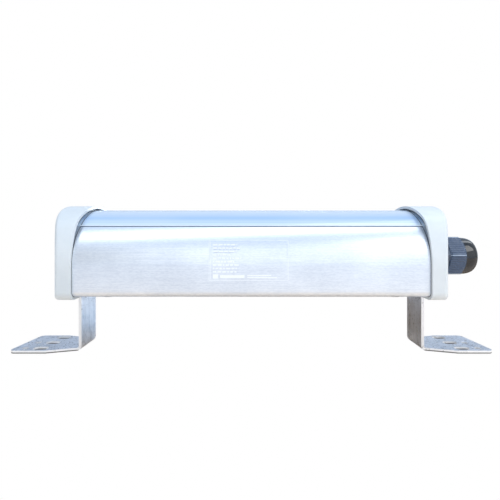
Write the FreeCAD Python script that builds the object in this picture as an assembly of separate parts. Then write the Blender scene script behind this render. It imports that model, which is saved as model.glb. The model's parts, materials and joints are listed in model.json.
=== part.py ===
"""Sealed linear antenna: extruded trough, arched plastic cover, moulded caps, cable gland, two Z feet.

Millimetres, +Z up, X along the housing. The origin is midway between the feet, on the plane they stand on.
"""
import FreeCAD, Part
import math
import os

from FreeCAD import Vector as V

os.makedirs("parts", exist_ok=True)

# Overall
trough_half = 103.0      # half length of trough and cover
cap_half = 37.6          # half depth of a cap
cap_bottom = 37.1        # height of the caps' undersides above the feet
cap_overlap = 2.4        # a cap's lip covers this much of the trough
cap_side_reach = 6.0     # from the trough's end to the cap's outer face, at its front and rear edges
cap_nose_reach = 16.5    # the same at mid depth

# Cap section, from the bottom upwards: straight side, then three tangent arcs to the crown
cap_corner = 5.0
cap_side = 18.1
cap_r1 = 50.0
cap_r2 = 18.0
cap_a1 = math.radians(27.0)
cap_a2 = math.radians(61.0)
cap_lip = 1.6
cap_wall = 3.0
cap_edge_round = 2.5
lip_gap = 0.2

# Housing section
body_side_more = 1.8     # the housing's straight side ends this far above the cap's
shoulder_r = 28.0
seam_angle = math.radians(51.1)
crown_gap = 0.9          # free height between the cover's crown and the caps' lips
wall = 2.2
cover_wall = 2.4
seam_gap = 0.15
inner_corner = 0.8

# Ledges, cover feet and seals
ledge_drop = 8.7         # underside of a ledge below the seam
ledge_thick = 2.0
ledge_reach = 5.9        # a ledge runs this far inwards from the seam
ledge_root = 5.8         # and starts this far inside the housing's side
seal_thick = 1.0
seal_reach = 3.4
seal_width = 4.4
foot_inset = 0.35
foot_width = 2.3
hook_gap = 0.35          # from a cover foot's hook to the housing's inner wall
hook_thick = 1.0

# Caps: gasket, ledge and screws
gasket_thick = 1.2
gasket_inset = 0.3
cavity_inset = 5.0
port_upper_in = 6.6
port_upper_drop = 10.9
port_lower_in = 5.2
port_lower_rise = 5.2
port_r = 3.6
screw_r = 1.98
screw_hole_r = 2.2
port_bore_r = 2.0
boss_r = 5.0
screw_head_r = 3.8
screw_head_h = 2.6
screw_head_round = 1.2
screw_sink_r = 4.2
screw_seat_wall = 3.0
screw_depth = 14.0
cross_half = 2.0
cross_slot_half = 0.4
cross_floor = 1.2

# T-slot rail under the trough
rail_half = 9.0
rail_drop = 0.25         # rail stands this far below the caps
throat_half = 3.25
throat_rise = 0.3        # slot's floor above the housing's underside
slot_half = 5.8
slot_height = 4.8
rail_roof = 2.2
rail_end_gap = 0.4

# Brackets and their bolts
sheet = 1.8
bend_r = 1.5
leg_out = 0.3            # leg's outer face beyond the cap's side edge
leg_half = 10.1
foot_half = 15.0
foot_taper = 17.0
foot_front_reach = 41.2  # from the leg to the foot's tip, at its front and rear corners
foot_rear_reach = 37.8
flange_reach = 25.3
corner_r = 3.0
bolt_in = 15.8
bolt_r = 2.98
bolt_hole_r = 3.2
washer_r = 6.0
washer_thick = 0.8
head_r = 4.8
head_h = 1.4
head_round = 0.4
socket_r = 2.3
socket_depth = 0.9
nut_half = 5.6
nut_thick = 4.0
nut_bore_r = 3.0
slot_out = 21.9
slot_pitch = 10.5
slot_r = 2.5
slot_length = 9.0
row_skew = 1.75          # each row of holes stands this much further out than the row behind it
pilot_out = 31.6
pilot_r = 1.9

# Cable gland
gland_rise = 22.2        # gland's axis above the cap's underside
gland_seat_drop = 1.1    # flat seat below the cap's nose
gland_wall = 3.6
gland_pad_r = 15.0
gland_hole_r = 10.2
spigot_r = 9.9
spigot_length = 13.5
o_ring_thick = 1.2
o_ring_r = 13.4
flat_half = 12.0
hex_thick = 4.8
neck_r = 9.4
neck_length = 8.5
gland_bore_r = 7.0
sleeve_pocket_r = 8.0
sleeve_r = 7.9
sleeve_bore_r = 6.2
sleeve_length = 10.0
claw_r = 8.6
claw_bore_r = 7.2
claw_length = 6.0
claw_slots = 8
claw_slot = 1.0
locknut_thick = 5.0
locknut_room = 0.3        # free space round the locknut's corners
nut_skirt_gap = 0.3
nut_skirt_r = 12.7
nut_skirt_length = 0.4
nut_waist_length = 8.9
nut_dome_r = 12.2
nut_dome_length = 9.8
nut_dome_bulge = (0.64, 0.93)
nut_corner_trim = 0.4
nut_tip_r = 8.4
nut_bore = 9.46
nut_bore_length = 8.6
nut_cage_r = 9.0
nut_lip = 3.1
nut_mouth_r = 6.7
hex_turn = math.radians(6.0)   # a corner of each hex stands this far above level, at the front

# Aerial inside
boom_side = 6.0
boom_end_gap = 11.0
boom_drop = 6.8          # boom's axis below the seam
post_out = 60.0
post_middle_in = 112.5    # middle post, from the trough's right-hand end, as the rods are
post_length = 8.0
post_half = 4.5
post_grip = 1.0
post_foot_half = 9.0
post_foot_thick = 2.0
boom_screw_r = 1.48
boom_screw_hole_r = 1.5
boom_screw_depth = 8.0
loose_hole_r = 1.6
small_head_r = 2.2
small_head_h = 1.8
small_slot_floor = 0.9
small_slot_half = 0.3
post_screw_y = 7.0
post_screw_depth = 2.0
screw_tip_gap = 0.2
rod_r = 1.5
rod_hole_r = 1.51
rod_pitch = 15.0
rod_count = 10
reflector_in = 19.0
reflector_length = 27.0
director_in = 45.0
director_first_length = 22.8
director_step = 0.22
driven_in = 33.0
driven_length = 25.0
driven_rod_r = 1.0
driven_hole_r = 1.02
driven_spread = 2.5
driven_rise = 5.6
driven_gap = 1.5
feed_half_x = 5.5
feed_half_y = 6.0
feed_below = 7.0
feed_above = 8.5
feed_fit = 0.1
board_thick = 1.0
board_before = 4.5
board_after = 12.0
board_half = 5.0
pigtail_r = 0.9
pigtail_gap = 0.05
pigtail_runs = (-25.0, -19.0, -12.0, -8.0)   # its corners along X, from the trough's end
plate_in = 6.0
plate_thick = 1.5
plate_half = 8.5
plate_rise = 7.7
plate_foot = 12.0
plate_screw_in = 8.0
plate_screw_y = 5.0
jack_r = 3.1
jack_hole_r = 3.2
jack_bore_r = 0.9
jack_bore_length = 5.0
jack_reach = 2.0
jack_flange_r = 4.5
jack_nut_half = 4.0
jack_nut_thick = 2.0

# Worked out: section
body_half = cap_half - cap_lip - lip_gap
body_bottom = cap_bottom + cap_lip + lip_gap
body_corner = cap_corner - cap_lip - lip_gap
cap_side_top = cap_bottom + cap_side
body_side_top = cap_side_top + body_side_more
shoulder_y = body_half - shoulder_r
seam_half = shoulder_y + shoulder_r * math.cos(seam_angle)
seam_z = body_side_top + shoulder_r * math.sin(seam_angle)
cap_crown_y = cap_half - cap_r1 * (1 - math.cos(cap_a1)) - cap_r2 * (math.cos(cap_a1) - math.cos(cap_a2))
cap_crown = (cap_side_top + cap_r1 * math.sin(cap_a1) + cap_r2 * (math.sin(cap_a2) - math.sin(cap_a1))
             + cap_crown_y / math.cos(cap_a2) * (1 - math.sin(cap_a2)))
cover_rise = cap_crown - cap_lip - lip_gap - crown_gap - seam_z
cover_r = (seam_half ** 2 + cover_rise ** 2) / (2 * cover_rise)
cover_centre_z = seam_z + cover_rise - cover_r
ledge_z = seam_z - ledge_drop
ledge_top = ledge_z + ledge_thick
ledge_in = seam_half - ledge_reach
ledge_out = body_half - ledge_root
seal_in = seam_half - seal_reach
foot_bottom = ledge_top + seal_thick
cover_foot_out = seam_half - seam_gap - foot_inset
hook_top = foot_bottom + hook_thick
hook_out = shoulder_y + math.sqrt((shoulder_r - wall) ** 2 - (hook_top - body_side_top) ** 2) - hook_gap
rail_bottom = cap_bottom - rail_drop
throat_top = body_bottom + throat_rise
slot_top = throat_top + slot_height
rail_top = slot_top + rail_roof
port_places = (
    (body_half - port_upper_in, seam_z - port_upper_drop),
    (body_half - port_lower_in, body_bottom + port_lower_rise),
)
ports = [(side * y, z) for y, z in port_places for side in (-1, 1)]

# Worked out: along the housing
rim_x = trough_half - cap_overlap
cap_floor_x = trough_half + gasket_thick
cap_side_x = trough_half + cap_side_reach
cap_nose_x = trough_half + cap_nose_reach
nose_r = (cap_half ** 2 + (cap_nose_x - cap_side_x) ** 2) / (2 * (cap_nose_x - cap_side_x))
screw_seat_x = cap_floor_x + screw_seat_wall
leg_out_x = cap_side_x + leg_out
foot_front_x = leg_out_x + foot_front_reach
foot_rear_x = leg_out_x + foot_rear_reach
flange_in_x = leg_out_x - flange_reach
bolt_x = leg_out_x - bolt_in
slot_x = leg_out_x + slot_out
pilot_x = leg_out_x + pilot_out
gland_z = cap_bottom + gland_rise
gland_seat_x = cap_nose_x - gland_seat_drop
gland_inner_x = gland_seat_x - gland_wall
locknut_sweep_r = flat_half / math.cos(math.pi / 6) + locknut_room
hex_start_x = gland_seat_x + o_ring_thick
hex_end_x = hex_start_x + hex_thick
neck_end_x = hex_end_x + neck_length
sleeve_x = neck_end_x - sleeve_length
nut_start_x = hex_end_x + nut_skirt_gap
nut_skirt_end_x = nut_start_x + nut_skirt_length
nut_hex_end_x = nut_skirt_end_x + nut_waist_length
nut_tip_x = nut_hex_end_x + nut_dome_length
boom_half = trough_half - boom_end_gap
boom_z = seam_z - boom_drop
post_middle_x = trough_half - post_middle_in
post_xs = (post_middle_x - post_out, post_middle_x, post_middle_x + post_out)
reflector_x = trough_half - reflector_in
driven_x = trough_half - driven_in
driven_z = boom_z + driven_rise
feed_bottom = boom_z - feed_below
feed_top = boom_z + feed_above
pigtail_z = feed_bottom - board_thick - pigtail_r - pigtail_gap
pigtail_points = [(trough_half + x, z) for x, z in zip(pigtail_runs, (pigtail_z, pigtail_z, gland_z, gland_z))]
plate_x = trough_half - plate_in
plate_foot_x = plate_x - plate_foot
plate_screw_x = plate_x - plate_screw_in
plate_top = gland_z + plate_rise
jack_end_x = trough_half + jack_reach
big = 400.0


def save(name, shape):
    """Write one node."""
    shape.exportStep(f"parts/{name}.step")


def box(x0, x1, y0, y1, z0, z1):
    """A box from its two corners."""
    return Part.makeBox(x1 - x0, y1 - y0, z1 - z0, V(x0, y0, z0))


def rod_x(x0, x1, r, y=0.0, z=gland_z):
    """A round bar along X."""
    return Part.makeCylinder(r, x1 - x0, V(x0, y, z), V(1, 0, 0))


def rod_z(z0, z1, r, x, y=0.0):
    """A round bar along Z."""
    return Part.makeCylinder(r, z1 - z0, V(x, y, z0), V(0, 0, 1))


def fuse(shapes):
    """Join shapes into one clean solid."""
    joined = shapes[0]
    for shape in shapes[1:]:
        joined = joined.fuse(shape)
    return joined.removeSplitter()


def cut(shape, tools):
    """Take each tool away from shape."""
    for tool in tools:
        shape = shape.cut(tool)
    return shape


def closed_face(edges):
    """A flat face from edges in order."""
    return Part.Face(Part.Wire(edges))


def on_circle(centre, r, angle):
    """Point on a circle in the YZ plane, the angle measured from +Y."""
    return centre[0] + r * math.cos(angle), centre[1] + r * math.sin(angle)


def mirrored_outline(lines, x):
    """A closed YZ face at x from the steps of its +Y half, from bottom centre to crown."""
    edges = []
    for side in (1, -1):
        for step in lines:
            points = [V(x, side * y, z) for y, z in step]
            if len(points) == 2:
                edges.append(Part.LineSegment(*points).toShape())
            else:
                edges.append(Part.Arc(*points).toShape())
    return closed_face(Part.__sortEdges__(edges))


def corner_steps(half, bottom, corner, side_top):
    """The bottom, its round corner and the straight side."""
    centre = (half - corner, bottom + corner)
    return [
        [(0.0, bottom), (centre[0], bottom)],
        [(centre[0], bottom), on_circle(centre, corner, -math.pi / 4), (half, centre[1])],
        [(half, centre[1]), (half, side_top)],
    ]


def arc_step(centre, r, start, end):
    """Three points of an arc between two angles."""
    return [on_circle(centre, r, a) for a in (start, (start + end) / 2, end)]


def cap_outline(inset, x):
    """Section of the cap, drawn inwards by inset."""
    r1 = cap_r1 - inset
    r2 = cap_r2 - inset
    half = cap_half - inset
    c1 = (half - r1, cap_side_top)
    p1 = on_circle(c1, r1, cap_a1)
    c2 = (p1[0] - r2 * math.cos(cap_a1), p1[1] - r2 * math.sin(cap_a1))
    p2 = on_circle(c2, r2, cap_a2)
    r3 = p2[0] / math.cos(cap_a2)
    c3 = (0.0, p2[1] - r3 * math.sin(cap_a2))
    steps = corner_steps(half, cap_bottom + inset, cap_corner - inset, cap_side_top)
    steps.append(arc_step(c1, r1, 0.0, cap_a1))
    steps.append(arc_step(c2, r2, cap_a1, cap_a2))
    steps.append(arc_step(c3, r3, cap_a2, math.pi / 2))
    return mirrored_outline(steps, x)


def circles_meet(c1, r1, c2, r2):
    """The upper meeting point of two circles."""
    dy = c2[0] - c1[0]
    dz = c2[1] - c1[1]
    gap = math.hypot(dy, dz)
    along = (r1 ** 2 - r2 ** 2 + gap ** 2) / (2 * gap)
    across = math.sqrt(r1 ** 2 - along ** 2)
    foot = (c1[0] + along * dy / gap, c1[1] + along * dz / gap)
    found = [(foot[0] + s * across * dz / gap, foot[1] - s * across * dy / gap) for s in (-1, 1)]
    return max(found, key=lambda point: point[1])


def body_outline(inset, x):
    """Section of housing and cover together, drawn inwards by inset."""
    half = body_half - inset
    low = (shoulder_y, body_side_top)
    high = (0.0, cover_centre_z)
    r_low = shoulder_r - inset
    r_high = cover_r - inset
    meet = circles_meet(low, r_low, high, r_high)
    low_end = math.atan2(meet[1] - low[1], meet[0] - low[0])
    high_start = math.atan2(meet[1] - high[1], meet[0] - high[0])
    corner = max(body_corner - inset, inner_corner)
    steps = corner_steps(half, body_bottom + inset, corner, body_side_top)
    steps.append(arc_step(low, r_low, 0.0, low_end))
    steps.append(arc_step(high, r_high, high_start, math.pi / 2))
    return mirrored_outline(steps, x)


def run_x(face, length):
    """Extrude a YZ face along X."""
    return face.extrude(V(length, 0, 0))


def mirror_x(shape):
    """The same piece on the other end."""
    return shape.mirror(V(0, 0, 0), V(1, 0, 0))


def make_trough():
    """Aluminium extrusion with ledges, screw ports and a T-slot rail."""
    length = 2 * trough_half
    shell = run_x(body_outline(0.0, -trough_half), length)
    shell = shell.cut(run_x(body_outline(wall, -trough_half), length))
    shell = shell.cut(box(-big, big, -seam_half, seam_half, ledge_z, big))
    x0, x1 = -trough_half, trough_half
    ledges = [box(x0, x1, min(s * ledge_in, s * ledge_out), max(s * ledge_in, s * ledge_out),
                  ledge_z, ledge_top) for s in (-1, 1)]
    bosses = [rod_x(x0, x1, port_r, y, z) for y, z in ports]
    rail = box(x0, x1, -rail_half, rail_half, rail_bottom, rail_top)
    body = fuse([shell] + ledges + bosses + [rail])
    tools = [rod_x(x0 - 1, x1 + 1, port_bore_r, y, z) for y, z in ports]
    tools.append(box(-big, big, -throat_half, throat_half, rail_bottom - 1, throat_top))
    tools.append(box(-big, big, -slot_half, slot_half, throat_top, slot_top))
    rail_end = rim_x - rail_end_gap
    for s in (-1, 1):
        xs = sorted((s * rail_end, s * big))
        tools.append(box(xs[0], xs[1], -big, big, 0, body_bottom))
    places = [(x, s * post_screw_y) for x in post_xs for s in (-1, 1)]
    places += [(plate_screw_x, s * plate_screw_y) for s in (-1, 1)]
    for x, y in places:
        tools.append(rod_z(rail_top - post_screw_depth, rail_top, boom_screw_hole_r, x, y))
    return cut(body, tools)


def make_cover():
    """Arched plastic cover with a hooked foot along each edge."""
    length = 2 * trough_half
    edge = seam_half - seam_gap
    band = run_x(body_outline(0.0, -trough_half), length)
    band = band.cut(run_x(body_outline(cover_wall, -trough_half), length))
    band = band.common(box(-big, big, -edge, edge, ledge_z, big))
    pieces = [band]
    foot_top = cover_centre_z + math.sqrt((cover_r - cover_wall / 2) ** 2 - cover_foot_out ** 2)
    for s in (-1, 1):
        ys = sorted((s * cover_foot_out, s * (cover_foot_out - foot_width)))
        pieces.append(box(-trough_half, trough_half, ys[0], ys[1], foot_bottom, foot_top))
        ys = sorted((s * cover_foot_out, s * hook_out))
        pieces.append(box(-trough_half, trough_half, ys[0], ys[1], foot_bottom, foot_bottom + hook_thick))
    return fuse(pieces)


def make_cover_seal(side):
    """Flat rubber strip between a ledge and the cover's foot."""
    ys = sorted((side * seal_in, side * (seal_in + seal_width)))
    return box(-trough_half, trough_half, ys[0], ys[1], ledge_top, foot_bottom)


def nose_prism(inset):
    """Everything behind the cap's outer face, which bulges in plan."""
    r = nose_r - inset
    centre_x = cap_nose_x - nose_r
    side_x = centre_x + math.sqrt(nose_r ** 2 - cap_half ** 2) - inset
    half = math.sqrt(r ** 2 - (side_x - centre_x) ** 2)
    corners = [V(0, -half, 0), V(side_x, -half, 0), V(side_x, half, 0), V(0, half, 0)]
    edges = [
        Part.LineSegment(corners[0], corners[1]).toShape(),
        Part.Arc(corners[1], V(centre_x + r, 0, 0), corners[2]).toShape(),
        Part.LineSegment(corners[2], corners[3]).toShape(),
        Part.LineSegment(corners[3], corners[0]).toShape(),
    ]
    return closed_face(edges).extrude(V(0, 0, big))


def make_cap(with_gland):
    """Moulded cap: lip, ledge for the gasket, domed end wall and four screw bosses."""
    blank = run_x(cap_outline(0.0, rim_x), big).common(nose_prism(0.0))
    outer = [e for e in blank.Edges if e.BoundBox.XMin > cap_side_x - 0.5]
    blank = blank.makeFillet(cap_edge_round, outer)
    cavity = run_x(body_outline(cavity_inset, cap_floor_x), big).common(nose_prism(cap_wall))
    for y, z in ports:
        cavity = cavity.cut(rod_x(cap_floor_x - 1, big, boss_r, y, z))
    if with_gland:
        cavity = cavity.cut(rod_x(gland_inner_x, big, gland_pad_r))
    tools = [run_x(cap_outline(cap_lip, rim_x), cap_floor_x - rim_x), cavity]
    for y, z in ports:
        tools.append(rod_x(cap_floor_x - 1, big, screw_hole_r, y, z))
        tools.append(rod_x(screw_seat_x, big, screw_sink_r, y, z))
    if with_gland:
        tools.append(rod_x(gland_seat_x, big, gland_pad_r))
        tools.append(rod_x(0.0, big, gland_hole_r))
        tools.append(rod_x(gland_inner_x - locknut_thick - locknut_room, gland_inner_x, locknut_sweep_r))
    return cut(blank, tools)


def make_gasket():
    """Flat ring on the housing's end, with an ear round each screw."""
    outer = run_x(body_outline(gasket_inset, trough_half), gasket_thick)
    ring = outer.cut(run_x(body_outline(cavity_inset, trough_half), gasket_thick))
    ears = [rod_x(trough_half, cap_floor_x, boss_r, y, z).common(outer) for y, z in ports]
    holes = [rod_x(trough_half - 1, cap_floor_x + 1, screw_hole_r, y, z) for y, z in ports]
    return cut(fuse([ring] + ears), holes)


def make_cap_screws():
    """Four pan-head screws from the cap into the housing's ports."""
    screws = []
    for y, z in ports:
        top = screw_seat_x + screw_head_h
        shank = rod_x(trough_half - screw_depth, screw_seat_x, screw_r, y, z)
        head = rod_x(screw_seat_x, top, screw_head_r, y, z)
        head = head.makeFillet(screw_head_round, [e for e in head.Edges if e.BoundBox.XMin > top - 0.1])
        floor = screw_seat_x + cross_floor
        cross = box(floor, top, y - cross_half, y + cross_half, z - cross_slot_half, z + cross_slot_half)
        cross = cross.fuse(box(floor, top, y - cross_slot_half, y + cross_slot_half,
                               z - cross_half, z + cross_half))
        screws.append(shank.fuse(head).cut(cross).removeSplitter())
    return Part.makeCompound(screws)


def bracket_section():
    """Z-shaped sheet in the XZ plane: flange inwards, leg down, foot outwards."""
    top = rail_bottom
    low = top - sheet
    inner = leg_out_x - sheet
    c1 = (inner - bend_r, low - bend_r)
    c2 = (leg_out_x + bend_r, sheet + bend_r)
    full = bend_r + sheet
    d = math.sqrt(0.5)
    y = -foot_half

    def arc(a, c, r, sign, b):
        mid = V(c[0] + sign * r * d, y, c[1] + sign * r * d)
        return Part.Arc(V(a[0], y, a[1]), mid, V(b[0], y, b[1])).toShape()

    def line(a, b):
        return Part.LineSegment(V(a[0], y, a[1]), V(b[0], y, b[1])).toShape()

    edges = [
        line((flange_in_x, top), (c1[0], top)),
        arc((c1[0], top), c1, full, 1, (leg_out_x, c1[1])),
        line((leg_out_x, c1[1]), (leg_out_x, c2[1])),
        arc((leg_out_x, c2[1]), c2, bend_r, -1, (c2[0], sheet)),
        line((c2[0], sheet), (foot_front_x, sheet)),
        line((foot_front_x, sheet), (foot_front_x, 0)),
        line((foot_front_x, 0), (c2[0], 0)),
        arc((c2[0], 0), c2, full, -1, (inner, c2[1])),
        line((inner, c2[1]), (inner, c1[1])),
        arc((inner, c1[1]), c1, bend_r, 1, (c1[0], low)),
        line((c1[0], low), (flange_in_x, low)),
        line((flange_in_x, low), (flange_in_x, top)),
    ]
    return closed_face(edges).extrude(V(0, 2 * foot_half, 0))


def bracket_plan():
    """Plan outline of the bracket: narrow flange and leg, wider foot, rounded ends."""
    taper_start = leg_out_x + bend_r
    taper_end = taper_start + foot_taper
    points = [
        (flange_in_x, -leg_half), (taper_start, -leg_half), (taper_end, -foot_half),
        (foot_front_x, -foot_half), (foot_rear_x, foot_half), (taper_end, foot_half),
        (taper_start, leg_half), (flange_in_x, leg_half),
    ]
    wire = Part.makePolygon([V(x, y, -1) for x, y in points + points[:1]])
    prism = Part.Face(wire).extrude(V(0, 0, big))
    ends = (flange_in_x, foot_front_x, foot_rear_x)
    upright = [e for e in prism.Edges if e.BoundBox.ZLength > big - 1
               and min(abs(e.BoundBox.XMin - x) for x in ends) < 0.01]
    return prism.makeFillet(corner_r, upright)


def make_bracket():
    """Right-hand bracket."""
    blank = bracket_section().common(bracket_plan())
    tools = [rod_z(rail_bottom - sheet - 1, rail_bottom + 1, bolt_hole_r, bolt_x)]
    half = slot_length / 2 - slot_r
    for row in (-1, 0, 1):
        x = slot_x - row * row_skew
        y = row * slot_pitch
        tools.append(rod_z(-1, sheet + 1, slot_r, x - half, y))
        tools.append(rod_z(-1, sheet + 1, slot_r, x + half, y))
        tools.append(box(x - half, x + half, y - slot_r, y + slot_r, -1, sheet + 1))
    for row in (-1, 0):
        tools.append(rod_z(-1, sheet + 1, pilot_r, pilot_x - row * row_skew, row * slot_pitch))
    return cut(blank, tools)


def hexagon(x0, x1, half, turn, y=0.0, z=gland_z):
    """A hexagonal bar along X; half is from its axis to a flat."""
    r = half / math.cos(math.pi / 6)
    angles = [math.pi + turn + i * math.pi / 3 for i in range(6)]
    points = [V(x0, y + r * math.cos(a), z + r * math.sin(a)) for a in angles]
    face = Part.Face(Part.makePolygon(points + points[:1]))
    return face.extrude(V(x1 - x0, 0, 0))


def make_bracket_bolt():
    """Low-headed bolt up through washer and flange into the T-nut."""
    head_top = rail_bottom - sheet - washer_thick
    head = rod_z(head_top - head_h, head_top, head_r, bolt_x)
    head = head.makeFillet(head_round, [e for e in head.Edges if e.BoundBox.ZMax < head_top - head_h / 2])
    shank = rod_z(head_top, throat_top + nut_thick, bolt_r, bolt_x)
    points = []
    for i in range(7):
        a = i * math.pi / 3
        points.append(V(bolt_x + socket_r * math.cos(a), socket_r * math.sin(a), head_top - head_h))
    socket = Part.Face(Part.makePolygon(points)).extrude(V(0, 0, socket_depth))
    return head.fuse(shank).cut(socket).removeSplitter()


def make_bracket_washer():
    """Plain washer under the flange."""
    top = rail_bottom - sheet
    return rod_z(top - washer_thick, top, washer_r, bolt_x).cut(rod_z(0, top + 1, bolt_hole_r, bolt_x))


def make_t_nut():
    """Square nut that slides in the rail."""
    block = box(bolt_x - nut_half, bolt_x + nut_half, -nut_half, nut_half, throat_top,
                throat_top + nut_thick)
    return block.cut(rod_z(0, big, nut_bore_r, bolt_x))


def make_gland_body():
    """Threaded spigot, hex flange and outer neck, with a through bore."""
    solid = fuse([
        rod_x(hex_start_x - spigot_length, hex_start_x, spigot_r),
        hexagon(hex_start_x, hex_end_x, flat_half, -hex_turn),
        rod_x(hex_end_x, neck_end_x, neck_r),
    ])
    return cut(solid, [rod_x(0, big, gland_bore_r), rod_x(sleeve_x, big, sleeve_pocket_r)])


def make_gland_o_ring():
    """Flat sealing ring between flange and cap."""
    return rod_x(gland_seat_x, hex_start_x, o_ring_r).cut(rod_x(0, big, gland_hole_r))


def make_gland_locknut():
    """Locknut inside the cap."""
    ring = hexagon(gland_inner_x - locknut_thick, gland_inner_x, flat_half, 0.0)
    return ring.cut(rod_x(0, big, spigot_r))


def make_gland_sleeve():
    """Rubber sleeve that grips the cable."""
    return rod_x(sleeve_x, neck_end_x, sleeve_r).cut(rod_x(0, big, sleeve_bore_r))


def make_gland_claw():
    """Slotted ring that the dome nut squeezes."""
    ring = rod_x(neck_end_x, neck_end_x + claw_length, claw_r).cut(rod_x(0, big, claw_bore_r))
    tools = []
    for i in range(claw_slots):
        slot = box(neck_end_x + claw_length / 3, big, 0, big, -claw_slot / 2, claw_slot / 2)
        slot.rotate(V(0, 0, 0), V(1, 0, 0), i * 360.0 / claw_slots)
        slot.translate(V(0, 0, gland_z))
        tools.append(slot)
    return cut(ring, tools)


def make_gland_dome_nut():
    """Nut with a round skirt, a hexagonal waist and a domed nose."""
    hex_r = flat_half / math.cos(math.pi / 6)
    waist = hexagon(nut_skirt_end_x, nut_hex_end_x, flat_half, -hex_turn)
    skirt = rod_x(nut_start_x, nut_skirt_end_x, nut_skirt_r)
    outline = [
        Part.LineSegment(V(nut_hex_end_x, 0, gland_z), V(nut_hex_end_x, 0, gland_z + nut_dome_r)).toShape(),
        Part.Arc(V(nut_hex_end_x, 0, gland_z + nut_dome_r),
                 V(nut_hex_end_x + nut_dome_bulge[0] * nut_dome_length, 0,
                   gland_z + nut_dome_bulge[1] * nut_dome_r),
                 V(nut_tip_x, 0, gland_z + nut_tip_r)).toShape(),
        Part.LineSegment(V(nut_tip_x, 0, gland_z + nut_tip_r), V(nut_tip_x, 0, gland_z)).toShape(),
        Part.LineSegment(V(nut_tip_x, 0, gland_z), V(nut_hex_end_x, 0, gland_z)).toShape(),
    ]
    dome = closed_face(outline).revolve(V(0, 0, gland_z), V(1, 0, 0), 360)
    waist = waist.common(rod_x(nut_skirt_end_x, nut_hex_end_x, hex_r - nut_corner_trim))
    solid = fuse([skirt, waist, dome])
    return cut(solid, [
        rod_x(0, nut_start_x + nut_bore_length, nut_bore),
        rod_x(0, nut_tip_x - nut_lip, nut_cage_r),
        rod_x(0, big, nut_mouth_r),
    ])


def director_places():
    """X position and length of each director, from the feed outwards."""
    first = trough_half - director_in
    return [(first - i * rod_pitch, director_first_length - i * director_step) for i in range(rod_count)]


def make_boom():
    """Square bar with a cross hole for each rod and a plain hole for each screw."""
    half = boom_side / 2
    bar = box(-boom_half, boom_half, -half, half, boom_z - half, boom_z + half)
    rods = [reflector_x] + [x for x, length in director_places()]
    tools = [Part.makeCylinder(rod_hole_r, 2 * half, V(x, -half, boom_z), V(0, 1, 0)) for x in rods]
    tools += [rod_z(0, big, boom_screw_hole_r, x) for x in post_xs]
    return cut(bar, tools)


def make_rod(x, length):
    """A straight rod across the boom."""
    return Part.makeCylinder(rod_r, length, V(x, -length / 2, boom_z), V(0, 1, 0))


def make_post(x):
    """Moulded post that carries the boom, with a flange at its foot."""
    half = boom_side / 2
    top = boom_z + half - post_grip
    column = box(x - post_length / 2, x + post_length / 2, -post_half, post_half, rail_top, top)
    foot = box(x - post_length / 2, x + post_length / 2, -post_foot_half, post_foot_half, rail_top,
               rail_top + post_foot_thick)
    tools = [box(-big, big, -half, half, boom_z - half, big)]
    tools.append(rod_z(boom_z - half - boom_screw_depth, big, boom_screw_hole_r, x))
    tools += [rod_z(0, big, loose_hole_r, x, s * post_screw_y) for s in (-1, 1)]
    return cut(fuse([column, foot]), tools)


def small_screw(x, y, seat, depth):
    """A small round-headed screw, its head on seat."""
    head = rod_z(seat, seat + small_head_h, small_head_r, x, y)
    cross = box(x - small_head_r, x + small_head_r, y - small_slot_half, y + small_slot_half,
                seat + small_slot_floor, big)
    return rod_z(seat - depth, seat, boom_screw_r, x, y).fuse(head).cut(cross).removeSplitter()


def make_boom_screws():
    """One screw down through the boom into each post."""
    seat = boom_z + boom_side / 2
    depth = boom_side + boom_screw_depth - screw_tip_gap
    return Part.makeCompound([small_screw(x, 0.0, seat, depth) for x in post_xs])


def make_post_screws():
    """Two screws through each post's foot."""
    seat = rail_top + post_foot_thick
    depth = post_foot_thick + post_screw_depth - screw_tip_gap
    places = [(x, s * post_screw_y) for x in post_xs for s in (-1, 1)]
    return Part.makeCompound([small_screw(x, y, seat, depth) for x, y in places])


def make_driven():
    """Folded dipole: a closed loop of round rod with one feed gap."""
    reach = driven_length / 2 - driven_spread
    a = driven_x - driven_spread
    b = driven_x + driven_spread
    z = driven_z
    end = V(driven_x, reach + driven_spread, z)
    far = V(driven_x, -reach - driven_spread, z)
    path = Part.Wire([
        Part.LineSegment(V(a, -reach, z), V(a, reach, z)).toShape(),
        Part.Arc(V(a, reach, z), end, V(b, reach, z)).toShape(),
        Part.LineSegment(V(b, reach, z), V(b, -reach, z)).toShape(),
        Part.Arc(V(b, -reach, z), far, V(a, -reach, z)).toShape(),
    ])
    ring = Part.Wire([Part.Circle(V(a, -reach, z), V(0, 1, 0), driven_rod_r).toShape()])
    loop = path.makePipeShell([ring], True, True)
    return loop.cut(box(driven_x, big, -driven_gap / 2, driven_gap / 2, 0, big))


def make_feed_block():
    """Moulded block that sits round the boom and holds the dipole."""
    half = boom_side / 2 + feed_fit
    block = box(driven_x - feed_half_x, driven_x + feed_half_x, -feed_half_y, feed_half_y,
                feed_bottom, feed_top)
    tools = [box(-big, big, -half, half, boom_z - half, boom_z + half)]
    for s in (-1, 1):
        tools.append(Part.makeCylinder(driven_hole_r, 2 * feed_half_y,
                                       V(driven_x + s * driven_spread, -feed_half_y, driven_z), V(0, 1, 0)))
    return cut(block, tools)


def make_balun_board():
    """Small circuit board under the feed block."""
    return box(driven_x - board_before, driven_x + board_after, -board_half, board_half, feed_bottom - board_thick, feed_bottom)


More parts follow.
